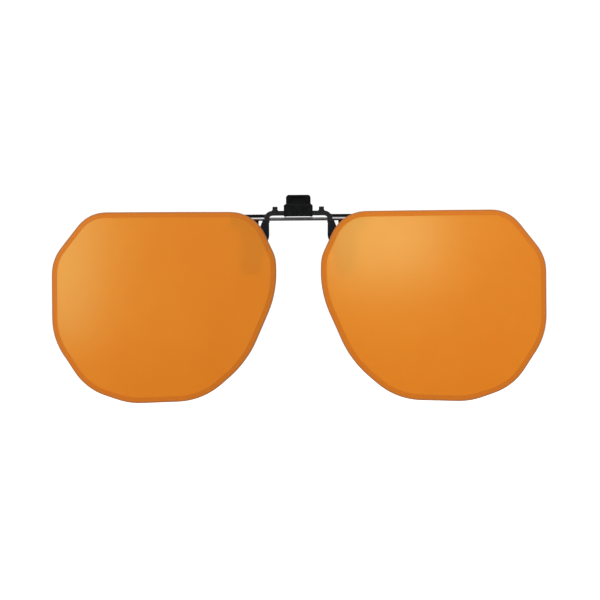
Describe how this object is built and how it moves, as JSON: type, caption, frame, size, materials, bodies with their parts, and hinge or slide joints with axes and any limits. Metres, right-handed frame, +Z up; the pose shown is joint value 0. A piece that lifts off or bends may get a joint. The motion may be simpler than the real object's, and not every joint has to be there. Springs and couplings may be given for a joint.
{
  "type": "clip-on flip-up lens pair",
  "caption": "Pair of mirror-coated flip-up lenses on a wire bridge, carried by a sprung clamp with rubber grips that clips onto spectacles beside the nose.",
  "frame": {"origin": "on the flip axis, which is the centre line of the bridge wire, half way between the lenses", "axes": "+X across the face along the flip axis, to the right as seen from the front; +Y from the lenses towards the wearer; +Z up. Left and right in the node names are as seen from the front."},
  "size_m": [0.1304, 0.0093, 0.0546],
  "materials": {
    "lens_mirror": "orange mirror coating on polycarbonate",
    "wire_steel": "polished",
    "clear_glue": "cloudy cured adhesive",
    "clamp_black": "satin black plating",
    "bush_nylon": "moulded nylon",
    "pin_steel": "ground",
    "spring_steel": "drawn wire",
    "sleeve_rubber": "matt blue-black rubber",
    "tab_plastic": "satin moulded"
  },
  "bodies": {
    "front_clamp": {"front_jaw": "clamp_black", "left_friction_bush": "bush_nylon", "right_friction_bush": "bush_nylon", "clamp_pin": "pin_steel", "left_torsion_spring": "spring_steel", "right_torsion_spring": "spring_steel", "left_locating_post": "clamp_black", "right_locating_post": "clamp_black", "left_front_sleeve": "sleeve_rubber", "right_front_sleeve": "sleeve_rubber"},
    "rear_clamp": {"rear_jaw": "clamp_black", "thumb_tab": "tab_plastic", "tab_grip": "sleeve_rubber", "left_rear_sleeve": "sleeve_rubber", "right_rear_sleeve": "sleeve_rubber"},
    "lens_carrier": {"left_lens": "lens_mirror", "right_lens": "lens_mirror", "bridge_wire": "wire_steel", "left_lens_bracket": "wire_steel", "right_lens_bracket": "wire_steel", "left_glue_pad": "clear_glue", "right_glue_pad": "clear_glue"}
  },
  "joints": [
    {"name": "clamp_hinge", "type": "hinge", "parent": "front_clamp", "child": "rear_clamp", "pos_m": [0, 0, 0.002], "axis": [1, 0, 0], "range_deg": [0, 22], "stiffness_Nm_per_rad": 0.013, "springref_deg": -68.75, "deforming": ["left_torsion_spring", "right_torsion_spring"]},
    {"name": "flip_hinge", "type": "hinge", "parent": "front_clamp", "child": "lens_carrier", "pos_m": [0, 0, 0], "axis": [-1, 0, 0], "range_deg": [0, 95]}
  ]
}
